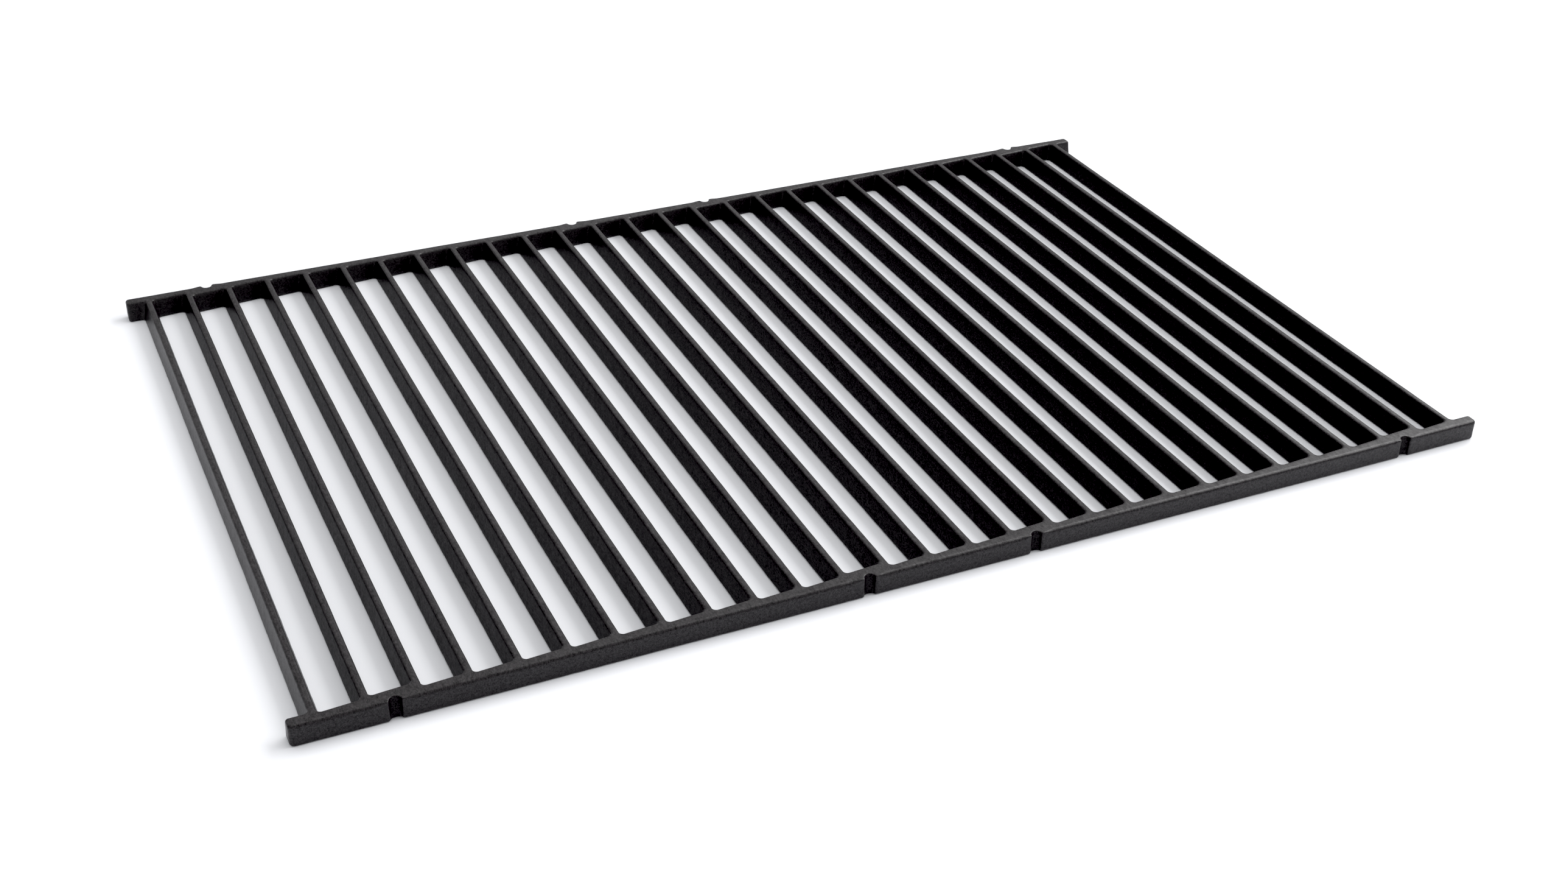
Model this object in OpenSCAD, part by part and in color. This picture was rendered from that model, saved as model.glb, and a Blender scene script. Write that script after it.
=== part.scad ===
// Cast-iron cooking grate: parallel drafted bars between two end rails with locating notches.
// The origin is at the middle of the underside. X runs along the rails, Y along the bars, Z up.

/* [Overall] */
// Length of the rails, along X
length = 485; // [420:1:560]
// Outside distance across both rails, along Y
depth = 316; // [240:1:400]
// Thickness of the casting, along Z
height = 8.4; // [7:0.1:12]

/* [Bars] */
// Number of bars
bar_count = 28; // [26:2:30]
// Width of a bar across its top
bar_top_w = 2.5; // [2.2:0.1:3.4]
// How far each gap wall leans in from its foot to its top
draft = 2.3; // [1.2:0.1:2.4]
// Distance from the end of a rail to the centre of the outermost bar
overhang = 9.5; // [8:0.1:12]
// Radius of a bar's top edges
bar_top_r = 0.6; // [0.3:0.1:0.8]
// Radius of a bar's bottom edges
bar_bottom_r = 0.8; // [0.4:0.1:1.2]

/* [Rails] */
// Thickness of a rail at its top
rail_top_t = 5.1; // [4.5:0.1:7]
// Radius of a rail's outer top edge
rail_top_r = 1.3; // [0.5:0.1:1.8]
// Radius of a rail's outer bottom edge
rail_bottom_r = 0.8; // [0.4:0.1:1.4]
// Radius of the upright corners at the ends of a rail
rail_end_r = 1.8; // [0.8:0.1:2.2]
// Length of the cast root of each bar that belongs to the rail
root_len = 5; // [4.2:0.1:8]
// Radius of the fillet where a bar meets a rail
fillet_r = 2.1; // [1.2:0.1:2.4]

/* [Notches] */
// Gaps that have a notch beside them, counted from either end of a rail
notch_gaps = [2, 12];
// Width of a notch at its mouth, over its rounded edges
notch_w = 5.7; // [4.6:0.1:7]
// Depth of a notch
notch_depth = 2.2; // [1.4:0.1:2.6]
// Radius of the two edges of a notch's mouth
notch_edge_r = 1; // [0.6:0.1:1.2]
// How far the rail is thickened inwards beside a notch
notch_backing = 1.6; // [0.8:0.1:1.8]

/* [Hidden] */
function bar_name(i) = str("bar_", i < 10 ? "0" : "", i);

// Number of straight facets in each small arc
arc_steps = 5;
// How far a cut or a buried face runs past the surface that it crosses
past = 1;
iron = [0.13, 0.13, 0.14];

pitch = (length - 2*overhang)/(bar_count - 1);
gap_count = bar_count - 1;
bar_bottom_w = bar_top_w + 2*draft;
rail_bottom_t = rail_top_t + draft;
bar_y = depth/2 - rail_top_t - root_len;
all_notch_gaps = concat(notch_gaps, [for (g = notch_gaps) gap_count + 1 - g]);

// Centre of bar i, counted from 1 at the left
function bar_x(i) = (i - 1)*pitch - (bar_count - 1)*pitch/2;
// Middle of gap g, between bars g and g + 1
function gap_x(g) = bar_x(g) + pitch/2;
function is_notched(g) = len([for (n = all_notch_gaps) if (n == g) n]) > 0;
function backing(g) = is_notched(g) ? notch_backing : 0;

// Points along an arc from angle a0 to a1
function arc(centre, r, a0, a1) =
    [for (s = [0:arc_steps])
        let (a = a0 + (a1 - a0)*s/arc_steps)
        centre + r*[cos(a), sin(a)]];

// The rounding of one corner of a convex outline that runs anticlockwise
function round_corner(before, corner, after, r) =
    let (
        to_before = (before - corner)/norm(before - corner),
        to_after = (after - corner)/norm(after - corner),
        half = acos(to_before*to_after)/2,
        bisector = (to_before + to_after)/norm(to_before + to_after),
        centre = corner + bisector*r/sin(half),
        start = atan2(-to_before[0], to_before[1])
    )
    arc(centre, r, start + 180, start + 180 + (180 - 2*half));

// A convex outline with a radius at each corner, where 0 leaves the corner sharp
function rounded(points, radii) =
    let (n = len(points))
    [for (k = [0:n - 1])
        let (
            before = points[(k + n - 1) % n],
            after = points[(k + 1) % n],
            run = radii[k] > 0 ? round_corner(before, points[k], after, radii[k]) : [points[k]]
        )
        for (p = run) p];

// Cross-section of a bar, across X and Z
module bar_section() {
    foot = bar_bottom_w/2;
    top = bar_top_w/2;
    polygon(rounded(
        [[-foot, 0], [foot, 0], [top, height], [-top, height]],
        [bar_bottom_r, bar_bottom_r, bar_top_r, bar_top_r]
    ));
}

// A stretch of bar from y0 to y1, centred on X = 0
module bar_stretch(y0, y1) {
    translate([0, y1, 0])
        rotate([90, 0, 0])
            linear_extrude(height = y1 - y0)
                bar_section();
}

// Cross-section of a rail: first coordinate inwards from the outer face, second up
module rail_section() {
    polygon(rounded(
        [[0, 0], [rail_bottom_t, 0], [rail_top_t, height], [0, height]],
        [rail_bottom_r, 0, 0, rail_top_r]
    ));
}

// A stretch of rail from x0 to x1, with its outer face on Y = 0 and its inner face towards +Y
module rail_stretch(x0, x1) {
    translate([x0, 0, 0])
        rotate([90, 0, 90])
            linear_extrude(height = x1 - x0)
                rail_section();
}

// Plan of a rail, with rounded upright corners
module rail_plan() {
    polygon(rounded(
        [[-length/2, 0], [length/2, 0], [length/2, rail_bottom_t], [-length/2, rail_bottom_t]],
        [rail_end_r, rail_end_r, rail_end_r, rail_end_r]
    ));
}

// Plan of a notch: a hollow floor arc that runs into two rounded mouth edges
module notch_plan() {
    half = notch_w/2;
    floor_r = half*half/(2*notch_depth) + notch_depth/2 - notch_edge_r;
    floor_y = notch_depth - floor_r;
    lean = atan2(notch_edge_r - floor_y, half);
    polygon(concat(
        [[-half, -past]],
        arc([-half, notch_edge_r], notch_edge_r, -90, -lean),
        arc([0, floor_y], floor_r, 180 - lean, lean),
        arc([half, notch_edge_r], notch_edge_r, 180 + lean, 270),
        [[half, -past]]
    ));
}

// Fillet in the corner on the +X side of a bar, following the lean of both walls
module fillet() {
    lean = atan2(draft*sqrt(2), height);
    outline = concat(
        [[-past, -past], [fillet_r, -past]],
        arc([fillet_r, fillet_r], fillet_r, 270, 180),
        [[-past, fillet_r]]
    );
    intersection() {
        translate([bar_bottom_w/2, rail_bottom_t, 0])
            rotate(a = lean, v = [1, -1, 0])
                translate([0, 0, -height])
                    linear_extrude(height = 3*height)
                        polygon(outline);
        translate([-2*bar_bottom_w, -rail_bottom_t, 0])
            cube([4*bar_bottom_w, 4*rail_bottom_t, height]);
    }
}

// Both fillets of bar i, each moved in by the thickening in the gap beside it
module bar_fillets(i) {
    translate([bar_x(i), backing(i), 0])
        fillet();
    translate([bar_x(i), backing(i - 1), 0])
        mirror([1, 0, 0])
            fillet();
}

// The thickening of the rail beside a notch, from bar to bar
module notch_back(g) {
    translate([0, notch_backing, 0])
        intersection() {
            rail_stretch(bar_x(g), bar_x(g + 1));
            translate([bar_x(g), rail_top_t - notch_backing - past, 0])
                cube([pitch, rail_bottom_t, height]);
        }
}

// A whole rail with its bar roots, fillets and notches, outer face on Y = 0
module rail() {
    difference() {
        union() {
            intersection() {
                rail_stretch(-length/2, length/2);
                linear_extrude(height = height)
                    rail_plan();
            }
            for (g = all_notch_gaps)
                notch_back(g);
            for (i = [1:bar_count]) {
                translate([bar_x(i), 0, 0])
                    bar_stretch(rail_top_t - past, rail_top_t + root_len);
                bar_fillets(i);
            }
        }
        for (g = all_notch_gaps)
            translate([gap_x(g), 0, -past])
                linear_extrude(height = height + 2*past)
                    notch_plan();
    }
}

module front_rail() {
    color(iron)
        translate([0, -depth/2, 0])
            rail();
}

module rear_rail() {
    color(iron)
        mirror([0, 1, 0])
            translate([0, -depth/2, 0])
                rail();
}

module bar(i) {
    color(iron)
        translate([bar_x(i), 0, 0])
            bar_stretch(-bar_y, bar_y);
}

front_rail();
rear_rail();
for (i = [1:bar_count])
    bar(i);
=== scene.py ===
"""Looks of a cast-iron barbecue grate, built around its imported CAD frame.

Shapes are worked out in millimetres in the frame's own axes, and turned into metres when a mesh is made.
Every piece is lofted from a plan outline or a cross-section and then roughened by one shared noise field,
so neighbouring pieces meet exactly and the casting looks like one.
"""
import math

import bpy
import numpy as np
from mathutils import Matrix, Vector, noise
from mathutils.geometry import delaunay_2d_cdt


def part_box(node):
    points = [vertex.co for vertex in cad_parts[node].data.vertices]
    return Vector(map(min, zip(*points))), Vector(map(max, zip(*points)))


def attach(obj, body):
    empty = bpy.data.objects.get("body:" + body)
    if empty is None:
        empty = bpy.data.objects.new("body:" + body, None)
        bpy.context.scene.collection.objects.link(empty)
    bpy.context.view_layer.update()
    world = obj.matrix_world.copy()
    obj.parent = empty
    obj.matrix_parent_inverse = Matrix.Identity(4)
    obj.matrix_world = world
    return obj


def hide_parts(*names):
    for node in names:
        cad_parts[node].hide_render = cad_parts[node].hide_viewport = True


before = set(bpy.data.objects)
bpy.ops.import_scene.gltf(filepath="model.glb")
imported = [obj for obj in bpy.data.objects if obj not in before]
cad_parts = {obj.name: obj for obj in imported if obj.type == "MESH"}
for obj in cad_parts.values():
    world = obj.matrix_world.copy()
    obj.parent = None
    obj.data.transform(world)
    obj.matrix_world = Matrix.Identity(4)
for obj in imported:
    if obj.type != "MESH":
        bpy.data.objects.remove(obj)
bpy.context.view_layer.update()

MM = 0.001

# ---------------------------------------------------------------- sizes, from the frame
BARS = sorted(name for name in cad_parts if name.startswith("bar_"))


def box_mm(node):
    low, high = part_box(node)
    return np.array(low) / MM, np.array(high) / MM


BAR_BOXES = [box_mm(name) for name in BARS]
BAR_X = [(low[0] + high[0]) / 2 for low, high in BAR_BOXES]
BAR_END = BAR_BOXES[0][1][1]
PITCH = (BAR_X[-1] - BAR_X[0]) / (len(BARS) - 1)
FRONT_LOW, FRONT_HIGH = box_mm("front_rail")
LENGTH, _, HEIGHT = FRONT_HIGH - FRONT_LOW
DEPTH = box_mm("rear_rail")[1][1] - FRONT_LOW[1]

# ---------------------------------------------------------------- sizes of the casting's details, mm
BAR_TOP = 2.5  # width of a bar's top, before its edges are rounded
DRAFT = 2.0  # how far a wall leans out from the top to the foot
RAIL_TOP = 5.1  # thickness of a rail's top
BAR_TOP_R = 1.0  # radius of a bar's top edges
BAR_FOOT_R = 0.85  # radius of a bar's lower edges
RAIL_EDGE_R = 1.35  # radius of a rail's outer top edge
RAIL_FOOT_R = 0.9  # radius of a rail's outer lower edge
RAIL_END_R = 1.8  # outer corners of a rail's ends, seen from above
RAIL_END_EDGE_R = 1.0  # radius of the top edge of a rail's end face
END_INNER_R = 1.2  # inner corners of a rail's ends, seen from above
FILLET_R = 1.6  # corners of the gaps, seen from above
NOTCH_GAPS = (2, 12)  # which gaps have a notch, counted from the left and from the right
NOTCH_W = 6.0  # distance between the middles of the mouth's two roundings
NOTCH_DEPTH = 2.4
NOTCH_DRAFT = 0.5  # lean of a notch's floor, as a share of a wall's
NOTCH_MOUTH_R = 1.0  # corners of a notch's mouth, seen from above
NOTCH_EDGE_R = 0.5  # radius of the top edge round a notch
NOTCH_REACH = 4.0  # how far from a notch the rail's top edge has its own radius again
CUT_CLEAR = 0.1  # least distance from a fillet's foot to the joint face of its bar
FRONT_SLIP = (0.7, 1.3)  # how far to the right the front rail's left and right ends lie
BACKING = 1.8  # thickening of a rail's inner wall at a notch
SAG = 0.8  # how far back a gap's end wall stands at its left

# ---------------------------------------------------------------- mesh fineness, steps in mm
STEP = 0.9
RING_STEP = 0.8
END_STEP = 0.6
ROOT_STEP = 0.7
ARC_STEPS = 6
WALL_STEPS = 8
CAP_STEPS = 6
CORNER_STEPS = 8
FILLET_STEPS = 10
NOTCH_FLOOR_STEPS = 14
RIM_CLEAR = 0.45  # least distance from a flat face's inner points to its rim, in steps

# ---------------------------------------------------------------- casting noise, mm
WARP = (0.24, 0.16, 0.1)  # strength along X, Y and Z
WARP_SIZES = ((15.0, 95.0), (70.0, 70.0), (45.0, 90.0))  # size of the waves in X and Y, for each of the three
WARP_SLICES = (3.7, 9.1, 17.3)
WOBBLE = (0.05, 0.05, 0.03)
WOBBLE_SIZE = (5.0, 6.5, 5.0)
WOBBLE_SLICE = 31.0
GRAIN = (0.07, 0.07, 0.03)
GRAIN_SIZE = (1.7, 1.9, 1.7)
GRAIN_SLICE = 77.0
GRAIN_FADE = 0.75  # share of the grain that is gone at the top
FLOOR_CLEAR = 0.03  # nothing lies lower than this
NOISE_SEED = 7  # vector noise shifts its pattern by the seed, which is the time of day if none is set
noise.seed_set(NOISE_SEED)

# ---------------------------------------------------------------- painted shade: weaker reflection where bars face each other and in notches
GAP_SIDE_FROM = 0.45  # sideways part of a normal where a bar's side begins
GAP_SIDE_TO = 0.85  # and where it is fully a side
NOTCH_PAINTED_SHADE = 0.75  # how much of the painted shade a notch's floor gets

SLOPE = DRAFT / HEIGHT
LEVELS = 2 * (ARC_STEPS + 1) + WALL_STEPS - 1


def profile(slope, top_r, foot_r):
    """Rows of height and how far a rounded edge draws back there, from a wall's foot to its top."""
    lean = math.atan(slope)
    out = []
    for step in range(ARC_STEPS + 1):
        angle = -math.pi / 2 + (lean + math.pi / 2) * step / ARC_STEPS
        z = foot_r * (1 + math.sin(angle))
        retreat = foot_r * (math.tan((math.pi / 2 + lean) / 2) - math.cos(angle)) - slope * z
        out.append((z, retreat))
    z_low, z_high = out[-1][0], HEIGHT - top_r * (1 - math.sin(lean))
    for step in range(1, WALL_STEPS):
        out.append((z_low + (z_high - z_low) * step / WALL_STEPS, 0.0))
    for step in range(ARC_STEPS + 1):
        angle = lean + (math.pi / 2 - lean) * step / ARC_STEPS
        z = HEIGHT - top_r * (1 - math.sin(angle))
        retreat = slope * (HEIGHT - z) + top_r * (math.tan((math.pi / 2 - lean) / 2) - math.cos(angle))
        out.append((z, retreat))
    return np.array(out)


# ---------------------------------------------------------------- pieces
def noise_vector(point, size, slice_at):
    x, y, z = (value / extent for value, extent in zip(point, size))
    return noise.noise_vector(Vector((x, y, z + slice_at)))


def casting_noise(points):
    """The points moved by slow warp of bars and rails, wobble of the walls, and coarse grain."""
    out = points.copy()
    for row, (x, y, z) in enumerate(points):
        wobble = noise_vector((x, y, z), WOBBLE_SIZE, WOBBLE_SLICE)
        grain = noise_vector((x, y, z), GRAIN_SIZE, GRAIN_SLICE)
        low = 1.0 - GRAIN_FADE * z / HEIGHT
        for axis, ((size_x, size_y), slice_at) in enumerate(zip(WARP_SIZES, WARP_SLICES)):
            warp = noise.noise(Vector((x / size_x, y / size_y, slice_at)))
            out[row, axis] += WARP[axis] * warp + WOBBLE[axis] * wobble[axis] + GRAIN[axis] * low * grain[axis]
    out[:, 2] = np.maximum(out[:, 2], FLOOR_CLEAR)
    return out


def mark_painted_shade(mesh, xs, ys):
    """Mark how far each point belongs to a bar's side that faces another bar, or to a notch's floor, where
    shade is painted in as a weaker reflection.
    """
    normals = np.zeros(3 * len(mesh.vertices))
    mesh.vertex_normals.foreach_get("vector", normals)
    sideways, along = normals[0::3], normals[1::3]
    sunk = (np.abs(ys) < DEPTH / 2 - NOTCH_DEPTH / 2) & (np.sign(ys) * along > GAP_SIDE_FROM)
    share = np.clip((np.abs(sideways) - GAP_SIDE_FROM) / (GAP_SIDE_TO - GAP_SIDE_FROM), 0, 1)
    inner = np.sign(sideways) * xs < BAR_X[-1]
    mark = mesh.attributes.new("shade_paint", "FLOAT", "POINT")
    mark.data.foreach_set("value", np.maximum(share * inner, NOTCH_PAINTED_SHADE * sunk))


def make_piece(name, points, faces):
    """An object from points in mm, roughened and with the places of its painted shade marked."""
    mesh = bpy.data.meshes.new(name)
    moved = casting_noise(np.array(points)) * MM
    mesh.from_pydata([tuple(p) for p in moved], [], faces)
    mesh.polygons.foreach_set("use_smooth", [True] * len(faces))
    mesh.update()
    mark_painted_shade(mesh, moved[:, 0] / MM, moved[:, 1] / MM)
    piece = bpy.data.objects.new(name, mesh)
    bpy.context.scene.collection.objects.link(piece)
    return piece


# ---------------------------------------------------------------- bars
def bar_ring():
    """Cross-section of a bar as (x, z) points: foot, right side, top, left side."""
    wall = profile(SLOPE, BAR_TOP_R, BAR_FOOT_R)
    half = BAR_TOP / 2 + SLOPE * (HEIGHT - wall[:, 0]) - wall[:, 1]
    right = list(zip(half, wall[:, 0]))
    left = [(-x, z) for x, z in reversed(right)]
    share = [1 - 2 * k / CAP_STEPS for k in range(1, CAP_STEPS)]
    top = [(half[-1] * s, HEIGHT) for s in share]
    foot = [(-half[0] * s, 0.0) for s in share]
    return right + top + left + foot


def bar(name, x_mid):
    ring = bar_ring()
    count = len(ring)
    stations = np.linspace(-BAR_END, BAR_END, round(2 * BAR_END / RING_STEP) + 1)
    points = [(x_mid + x, y, z) for y in stations for x, z in ring]
    faces = []
    for s in range(len(stations) - 1):
        for k in range(count):
            a, b = s * count + k, s * count + (k + 1) % count
            faces.append((a, a + count, b + count, b))
    start = len(points)
    points += points[:count] + points[-count:]
    faces.append(tuple(range(start, start + count)))
    faces.append(tuple(reversed(range(start + count, start + 2 * count))))
    return make_piece(name, points, faces)


# ---------------------------------------------------------------- rails
class Outline:
    """A rail seen from above, anticlockwise, as points at its top with what shapes the wall below each.

    A point knows the wall's normal, the direction it leans out in, its slope, its edge radii, and whether the
    wall from there to the next point is the joint face of a bar.
    """

    def __init__(self):
        self.base = []
        self.normal = []
        self.draft = []
        self.lean = []
        self.top_r = []
        self.foot_r = []
        self.cap = []

    def add(self, base, normal, draft, top_r, foot_r, slope=None, cap=False):
        self.base.append(base)
        self.normal.append(normal)
        self.draft.append(draft)
        lean = SLOPE * max(0.0, draft[0] * normal[0] + draft[1] * normal[1])
        self.lean.append(lean if slope is None else slope)
        self.top_r.append(top_r)
        self.foot_r.append(foot_r)
        self.cap.append(cap)

    def levels(self):
        """Points as an array [level, point, xyz]."""
        out = np.zeros((LEVELS, len(self.base), 3))
        for k, base in enumerate(self.base):
            wall = profile(self.lean[k], self.top_r[k], self.foot_r[k])
            spread = SLOPE * (HEIGHT - wall[:, 0])
            for axis in (0, 1):
                out[:, k, axis] = base[axis] + self.draft[k][axis] * spread - self.normal[k][axis] * wall[:, 1]
            out[:, k, 2] = wall[:, 0]
        return out


def arc(centre, r, a0, a1, steps, ends=True):
    """Points and radial directions along an arc, angles in degrees."""
    out = []
    for s in range(0 if ends else 1, steps + 1 if ends else steps):
        a = math.radians(a0 + (a1 - a0) * s / steps)
        ray = (math.cos(a), math.sin(a))
        out.append(((centre[0] + r * ray[0], centre[1] + r * ray[1]), ray))
    return out


def spaced(a, b, step=STEP):
    """Positions strictly between a and b, about step apart."""
    count = max(1, round(abs(b - a) / step))
    return [a + (b - a) * k / count for k in range(1, count)]


def edge_radius(x, notch_xs):
    """Radius of the rail's outer top edge, smaller beside a notch."""
    near = min(abs(x - n) for n in notch_xs) - NOTCH_W / 2
    share = min(max(near / NOTCH_REACH, 0.0), 1.0)
    share = share * share * (3 - 2 * share)
    return NOTCH_EDGE_R + (RAIL_EDGE_R - NOTCH_EDGE_R) * share


def add_notch(line, x_mid):
    """A notch: a round floor between the two rounded corners of its mouth, each running into the next."""
    half = NOTCH_W / 2
    floor_r = half * half / (2 * NOTCH_DEPTH) + NOTCH_DEPTH / 2 - NOTCH_MOUTH_R
    floor_y = NOTCH_DEPTH - floor_r
    lean = math.degrees(math.atan2(NOTCH_MOUTH_R - floor_y, half))
    parts = [
        (arc((x_mid - half, NOTCH_MOUTH_R), NOTCH_MOUTH_R, -90, -lean, CORNER_STEPS), 1),
        (arc((x_mid, floor_y), floor_r, 180 - lean, lean, NOTCH_FLOOR_STEPS, ends=False), -1),
        (arc((x_mid + half, NOTCH_MOUTH_R), NOTCH_MOUTH_R, 180 + lean, 270, CORNER_STEPS), 1),
    ]
    for part, side in parts:
        for point, ray in part:
            depth_share = point[1] / NOTCH_DEPTH
            line.add(
                point, (side * ray[0], side * ray[1]), (0, -NOTCH_DRAFT * depth_share),
                NOTCH_EDGE_R, RAIL_FOOT_R, slope=0.0,
            )


def add_outer_face(line, notch_xs, x_left, x_right):
    """A rail's outer face with its notches, run towards +X."""
    x = x_left + RAIL_END_R
    half = NOTCH_W / 2
    for n in sorted(notch_xs):
        for x_at in spaced(x, n - half):
            line.add((x_at, 0), (0, -1), (0, 0), edge_radius(x_at, notch_xs), RAIL_FOOT_R)
        add_notch(line, n)
        x = n + half
    for x_at in spaced(x, x_right - RAIL_END_R):
        line.add((x_at, 0), (0, -1), (0, 0), edge_radius(x_at, notch_xs), RAIL_FOOT_R)


def add_rail_end(line, side, x_end):
    """The end face and its two upright corners: anticlockwise on the right, and the reverse on the left."""
    outer_mid = (x_end - side * RAIL_END_R, RAIL_END_R)
    outer = arc(outer_mid, RAIL_END_R, -90, 0 if side > 0 else -180, CORNER_STEPS)
    inner_mid = (x_end - side * END_INNER_R, RAIL_TOP - END_INNER_R)
    inner = arc(inner_mid, END_INNER_R, 0 if side > 0 else 180, 90, CORNER_STEPS)
    run = []
    for k, (point, ray) in enumerate(outer):
        share = k / CORNER_STEPS
        run.append((point, ray, (0, 0), RAIL_EDGE_R + (RAIL_END_EDGE_R - RAIL_EDGE_R) * share, RAIL_FOOT_R))
    y0, y1 = RAIL_END_R, RAIL_TOP - END_INNER_R
    for y in spaced(y0, y1, END_STEP):
        share = (y - y0) / (y1 - y0)
        run.append(((x_end, y), (side, 0), (0, share), RAIL_END_EDGE_R, RAIL_FOOT_R))
    for k, (point, ray) in enumerate(inner):
        share = k / CORNER_STEPS
        top_r = RAIL_END_EDGE_R + (BAR_TOP_R - RAIL_END_EDGE_R) * share
        run.append((point, ray, (0, 1), top_r, RAIL_FOOT_R + (BAR_FOOT_R - RAIL_FOOT_R) * share))
    for item in (run if side > 0 else reversed(run)):
        line.add(*item)


def wall_shift(share, notched):
    """How far a gap's end wall stands in, from the left of the gap (share 0) to its right (share 1)."""
    return (BACKING if notched else 0.0) - SAG * (1 - share)


def add_inner_wall(line, x_from, x_to, fillet_from, fillet_to, shift_from=0.0, shift_to=0.0):
    """The rail's inner wall, run towards -X between two fillets or a rail's end."""
    for x in spaced(x_from, x_to):
        share = (x_from - x) / (x_from - x_to)
        slide = fillet_from + (fillet_to - fillet_from) * share
        shift = shift_from + (shift_to - shift_from) * share
        line.add((x, RAIL_TOP + shift), (0, 1), (slide, 1), BAR_TOP_R, BAR_FOOT_R)


def add_root(line, x_mid, right_shift, left_shift):
    """A bar's root: fillet and right side, joint face, left side and fillet."""
    half = BAR_TOP / 2
    y_cut = DEPTH / 2 - BAR_END
    for side, shift in ((1, right_shift), (-1, left_shift)):
        centre = (x_mid + side * (half + FILLET_R), RAIL_TOP + shift + FILLET_R)
        bend = arc(centre, FILLET_R, 270, 180 if side > 0 else 360, FILLET_STEPS)
        y_bend = centre[1]
        slide = min(1.0, (y_cut - CUT_CLEAR - y_bend) / DRAFT)
        run = []
        for point, ray in bend:
            share = 1 - (y_bend - point[1]) / FILLET_R
            run.append((point, (-ray[0], -ray[1]), (side, 1 - (1 - slide) * share)))
        for y in spaced(y_bend, y_cut, ROOT_STEP):
            draft = (side, slide * (y_cut - y) / (y_cut - y_bend))
            run.append(((x_mid + side * half, y), (side, 0), draft))
        run.append(((x_mid + side * half, y_cut), (side, 0), (side, 0)))
        if side < 0:
            run.reverse()
        for point, normal, draft in run:
            line.add(point, normal, draft, BAR_TOP_R, BAR_FOOT_R)
        if side > 0:
            line.cap[-1] = True
            for k in range(1, CAP_STEPS):
                share = 1 - 2 * k / CAP_STEPS
                point = (x_mid + share * half, y_cut)
                line.add(point, (share, 0), (share, 0), BAR_TOP_R, BAR_FOOT_R, slope=SLOPE, cap=True)


def rail_outline(x_left, x_right):
    """The front rail's outline, its outer face at y = 0, from the left end round to the left end again."""
    gap_mids = [x + PITCH / 2 for x in BAR_X[:-1]]
    notched = set(NOTCH_GAPS) | {len(BARS) - g for g in NOTCH_GAPS}
    line = Outline()
    add_outer_face(line, [gap_mids[g - 1] for g in notched], x_left, x_right)
    add_rail_end(line, 1, x_right)
    reach = BAR_TOP / 2 + FILLET_R
    last = len(BARS)
    add_inner_wall(line, x_right - END_INNER_R, BAR_X[-1] + reach, 0, 1)
    for i in range(last, 0, -1):
        right_shift = wall_shift(0, i in notched) if i < last else 0.0
        left_shift = wall_shift(1, i - 1 in notched) if i > 1 else 0.0
        add_root(line, BAR_X[i - 1], right_shift, left_shift)
        if i > 1:
            far_shift = wall_shift(0, i - 1 in notched)
            add_inner_wall(line, BAR_X[i - 1] - reach, BAR_X[i - 2] + reach, -1, 1, left_shift, far_shift)
    add_inner_wall(line, BAR_X[0] - reach, x_left + END_INNER_R, -1, 0)
    add_rail_end(line, -1, x_left)
    return line


TINY = 1e-12
INSIDE_ONLY = 1  # the triangulation's mode that drops triangles outside the outline
MERGE_WITHIN = 1e-6


def fill_points(loop, step):
    """Staggered points inside a closed plan loop, clear of its edge."""
    low, high = loop.min(axis=0), loop.max(axis=0)
    ys = np.arange(low[1] + step / 2, high[1], step)
    grid = []
    for row, y in enumerate(ys):
        xs = np.arange(low[0] + step / 2 * (1 + row % 2), high[0], step)
        grid.append(np.stack([xs, np.full_like(xs, y)], 1))
    grid = np.concatenate(grid)
    inside = np.zeros(len(grid), dtype=bool)
    clear = np.full(len(grid), np.inf)
    for (ax, ay), (bx, by) in zip(loop, np.roll(loop, -1, axis=0)):
        if ay != by:
            crosses = (ay > grid[:, 1]) != (by > grid[:, 1])
            x_at = ax + (grid[:, 1] - ay) * (bx - ax) / (by - ay)
            inside ^= crosses & (grid[:, 0] < x_at)
        edge = np.array([bx - ax, by - ay])
        along = np.clip(((grid - (ax, ay)) @ edge) / max(edge @ edge, TINY), 0, 1)
        clear = np.minimum(clear, np.hypot(*(grid - (ax, ay) - along[:, None] * edge).T))
    return grid[inside & (clear > RIM_CLEAR * step)]


def cover(loop, z, first, points, up):
    """Triangles over a flat face whose rim is points first, first + 1, ... of the piece."""
    extra = fill_points(loop, STEP)
    plan = [Vector(p) for p in loop] + [Vector(p) for p in extra]
    rim = len(loop)
    start = len(points)
    points.extend((p[0], p[1], z) for p in extra)
    _, _, triangles, sources, _, _ = delaunay_2d_cdt(plan, [], [list(range(rim))], INSIDE_ONLY, MERGE_WITHIN)
    owners = [source[0] for source in sources]
    faces = []
    for triangle in triangles:
        ids = [first + owners[v] if owners[v] < rim else start + owners[v] - rim for v in triangle]
        faces.append(tuple(ids) if up else tuple(reversed(ids)))
    return faces


def rail(name, turned, slip=(0.0, 0.0)):
    """A rail, whose left and right ends may lie a little to the right of their nominal places."""
    line = rail_outline(-LENGTH / 2 + slip[0], LENGTH / 2 + slip[1])
    rows = line.levels()
    rows[:, :, 1] -= DEPTH / 2
    count = rows.shape[1]
    points = [tuple(p) for p in rows.reshape(-1, 3)]
    faces = []
    copies = {}

    def own(corner):
        """A copy of a point for the joint faces alone, so that they don't bend the shading of the walls."""
        if corner not in copies:
            copies[corner] = len(points)
            points.append(points[corner])
        return copies[corner]

    for j in range(LEVELS - 1):
        for k in range(count):
            a, b = j * count + k, j * count + (k + 1) % count
            face = (a, b, b + count, a + count)
            faces.append(tuple(own(corner) for corner in face) if line.cap[k] else face)
    top = (LEVELS - 1) * count
    faces += cover(rows[-1, :, :2], HEIGHT, top, points, True)
    faces += cover(rows[0, :, :2], 0.0, 0, points, False)
    if turned:
        points = [(-x, -y, z) for x, y, z in points]
    return make_piece(name, points, faces)


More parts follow.
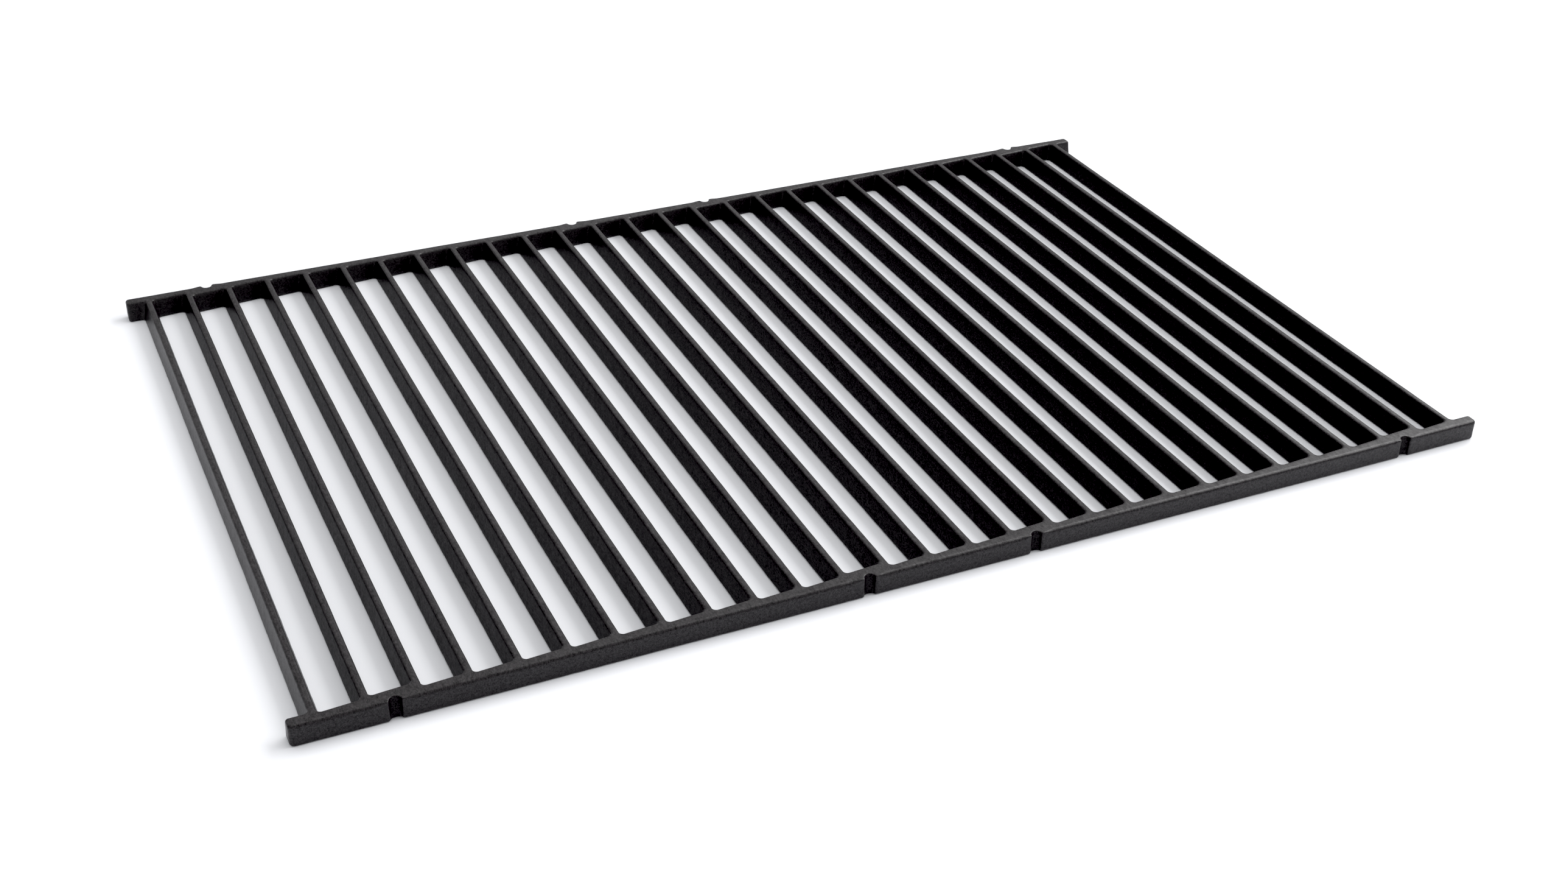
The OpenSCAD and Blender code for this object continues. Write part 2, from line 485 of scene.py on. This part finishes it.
# ---------------------------------------------------------------- materials
GRAIN_STRETCH = 0.5  # pattern scale along the bars, against 1 across them
PATCH_SCALE = 60
MOTTLE_SCALE = 900
FINE_SCALE = 2100
IRON_DARK = (0.006, 0.0055, 0.006)
IRON_LIGHT = (0.033, 0.029, 0.032)
IRON_DARK_AT = 0.4
IRON_LIGHT_AT = 0.62
ROUGHNESS = (0.3, 0.42)
TOP_SHINE = 0.75  # highest specular level
SHADED_SHINE = 0.18  # share of it kept where shade is painted in
GRAIN_BUMP = (0.5, 0.00006)  # strength, and height in metres
PIT_BUMP = (0.3, 0.0001)
FLOOR_COLOUR = (0.9, 0.91, 0.94, 1)
FLOOR_ROUGHNESS = 0.6
FLOOR_SHINE = 0.2


def enamelled_iron():
    """Matt black enamel over sand-cast iron."""
    material = bpy.data.materials.new("enamelled_iron")
    material.use_nodes = True
    nodes, links = material.node_tree.nodes, material.node_tree.links
    shader = nodes["Principled BSDF"]
    position = nodes.new("ShaderNodeTexCoord")
    drawn_out = nodes.new("ShaderNodeMapping")
    drawn_out.inputs["Scale"].default_value = (1, GRAIN_STRETCH, 1)
    links.new(position.outputs["Object"], drawn_out.inputs["Vector"])

    def noise_at(scale, detail, rough=0.5):
        tex = nodes.new("ShaderNodeTexNoise")
        tex.inputs["Scale"].default_value = scale
        tex.inputs["Detail"].default_value = detail
        tex.inputs["Roughness"].default_value = rough
        links.new(drawn_out.outputs["Vector"], tex.inputs["Vector"])
        return tex.outputs["Fac"]

    def ramp(value, *stops):
        node = nodes.new("ShaderNodeValToRGB")
        for stop, (at, colour) in zip(node.color_ramp.elements, stops):
            stop.position = at
            stop.color = (*colour, 1)
        links.new(value, node.inputs["Fac"])
        return node.outputs["Color"]

    def remap(value, low, high):
        node = nodes.new("ShaderNodeMapRange")
        node.inputs["To Min"].default_value = low
        node.inputs["To Max"].default_value = high
        links.new(value, node.inputs["Value"])
        return node.outputs["Result"]

    def bump(height, strength, distance):
        node = nodes.new("ShaderNodeBump")
        node.inputs["Strength"].default_value = strength
        node.inputs["Distance"].default_value = distance
        links.new(height, node.inputs["Height"])
        return node

    mottle = noise_at(MOTTLE_SCALE, detail=4, rough=0.6)
    patches = noise_at(PATCH_SCALE, detail=3)
    fine = noise_at(FINE_SCALE, detail=3, rough=0.8)
    colour = ramp(fine, (IRON_DARK_AT, IRON_DARK), (IRON_LIGHT_AT, IRON_LIGHT))
    links.new(colour, shader.inputs["Base Color"])
    links.new(remap(patches, *ROUGHNESS), shader.inputs["Roughness"])

    # Painted shade: the specular level is cut down on bars' sides that face another bar and on notch floors,
    # where shade falls.
    shade_paint = nodes.new("ShaderNodeAttribute")
    shade_paint.attribute_name = "shade_paint"
    shine = nodes.new("ShaderNodeMath")
    shine.operation = "MULTIPLY"
    links.new(remap(mottle, 0.0, TOP_SHINE), shine.inputs[0])
    links.new(remap(shade_paint.outputs["Fac"], 1.0, SHADED_SHINE), shine.inputs[1])
    links.new(shine.outputs["Value"], shader.inputs["Specular IOR Level"])

    grain = bump(fine, *GRAIN_BUMP)
    pits = bump(mottle, *PIT_BUMP)
    links.new(grain.outputs["Normal"], pits.inputs["Normal"])
    links.new(pits.outputs["Normal"], shader.inputs["Normal"])
    return material


def floor_material():
    material = bpy.data.materials.new("floor")
    material.use_nodes = True
    shader = material.node_tree.nodes["Principled BSDF"]
    shader.inputs["Base Color"].default_value = FLOOR_COLOUR
    shader.inputs["Roughness"].default_value = FLOOR_ROUGHNESS
    shader.inputs["Specular IOR Level"].default_value = FLOOR_SHINE
    return material


# ---------------------------------------------------------------- the object
IRON = enamelled_iron()


def place(piece, node):
    piece.data.materials.append(IRON)
    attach(piece, "root")
    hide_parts(node)


place(rail("front_rail_casting", turned=False, slip=FRONT_SLIP), "front_rail")
place(rail("rear_rail_casting", turned=True), "rear_rail")
for bar_name, bar_x in zip(BARS, BAR_X):
    place(bar(bar_name + "_casting", bar_x), bar_name)

# ---------------------------------------------------------------- floor, light and camera
FLOOR_HALF = 4.0
SKY_STRENGTH = 0.6
CORNERS = ((-1, -1), (1, -1), (1, 1), (-1, 1))

floor_mesh = bpy.data.meshes.new("floor")
floor_mesh.from_pydata([(x * FLOOR_HALF, y * FLOOR_HALF, 0) for x, y in CORNERS], [], [(0, 1, 2, 3)])
floor = bpy.data.objects.new("floor", floor_mesh)
bpy.context.scene.collection.objects.link(floor)
floor_mesh.materials.append(floor_material())

world = bpy.data.worlds.new("studio")
world.use_nodes = True
sky = world.node_tree.nodes["Background"]
sky.inputs["Color"].default_value = (1, 1, 1, 1)
sky.inputs["Strength"].default_value = SKY_STRENGTH
bpy.context.scene.world = world


def softbox(name, at, size, power):
    """A rectangular light that faces the middle of the grate; metres and watts."""
    light = bpy.data.lights.new(name, "AREA")
    light.shape = "RECTANGLE"
    light.size, light.size_y = size
    light.energy = power
    lamp = bpy.data.objects.new(name, light)
    lamp.location = at
    lamp.rotation_euler = (Vector((0, 0, 0)) - Vector(at)).to_track_quat("-Z", "Y").to_euler()
    bpy.context.scene.collection.objects.link(lamp)


softbox("overhead", at=(0.0, 0.35, 1.5), size=(2.2, 1.4), power=9)
softbox("rear", at=(0.9, 1.15, 1.15), size=(2.0, 1.1), power=3)
softbox("right", at=(1.4, 0.05, 1.3), size=(2.0, 1.0), power=31)

# The camera looks along its azimuth (0 is +Y, negative towards +X) and down by its dip, and is rolled a little.
# Its place is in metres, its angles are in degrees, its sensor and focal length are in millimetres.
CAMERA_AT = (-0.3085, -0.6520, 0.4135)
CAMERA_AZIMUTH = -25.73
CAMERA_DIP = 31.68
CAMERA_ROLL = 1.554
SENSOR = 36.0
FOCAL = 44.714

camera_data = bpy.data.cameras.new("camera")
camera_data.sensor_width = SENSOR
camera_data.lens = FOCAL
camera = bpy.data.objects.new("camera", camera_data)
turn = Matrix.Rotation(math.radians(CAMERA_AZIMUTH), 4, "Z")
tilt = Matrix.Rotation(math.radians(90 - CAMERA_DIP), 4, "X")
roll = Matrix.Rotation(math.radians(CAMERA_ROLL), 4, "Z")
camera.matrix_world = Matrix.Translation(CAMERA_AT) @ turn @ tilt @ roll
bpy.context.scene.collection.objects.link(camera)
bpy.context.scene.camera = camera

# The darkest tones are drawn down to black, as in the photo.
BLACK_LEVEL = 0.018
view = bpy.context.scene.view_settings
view.view_transform = "Standard"
view.use_curve_mapping = True
view.curve_mapping.black_level = (BLACK_LEVEL,) * 3
view.curve_mapping.update()
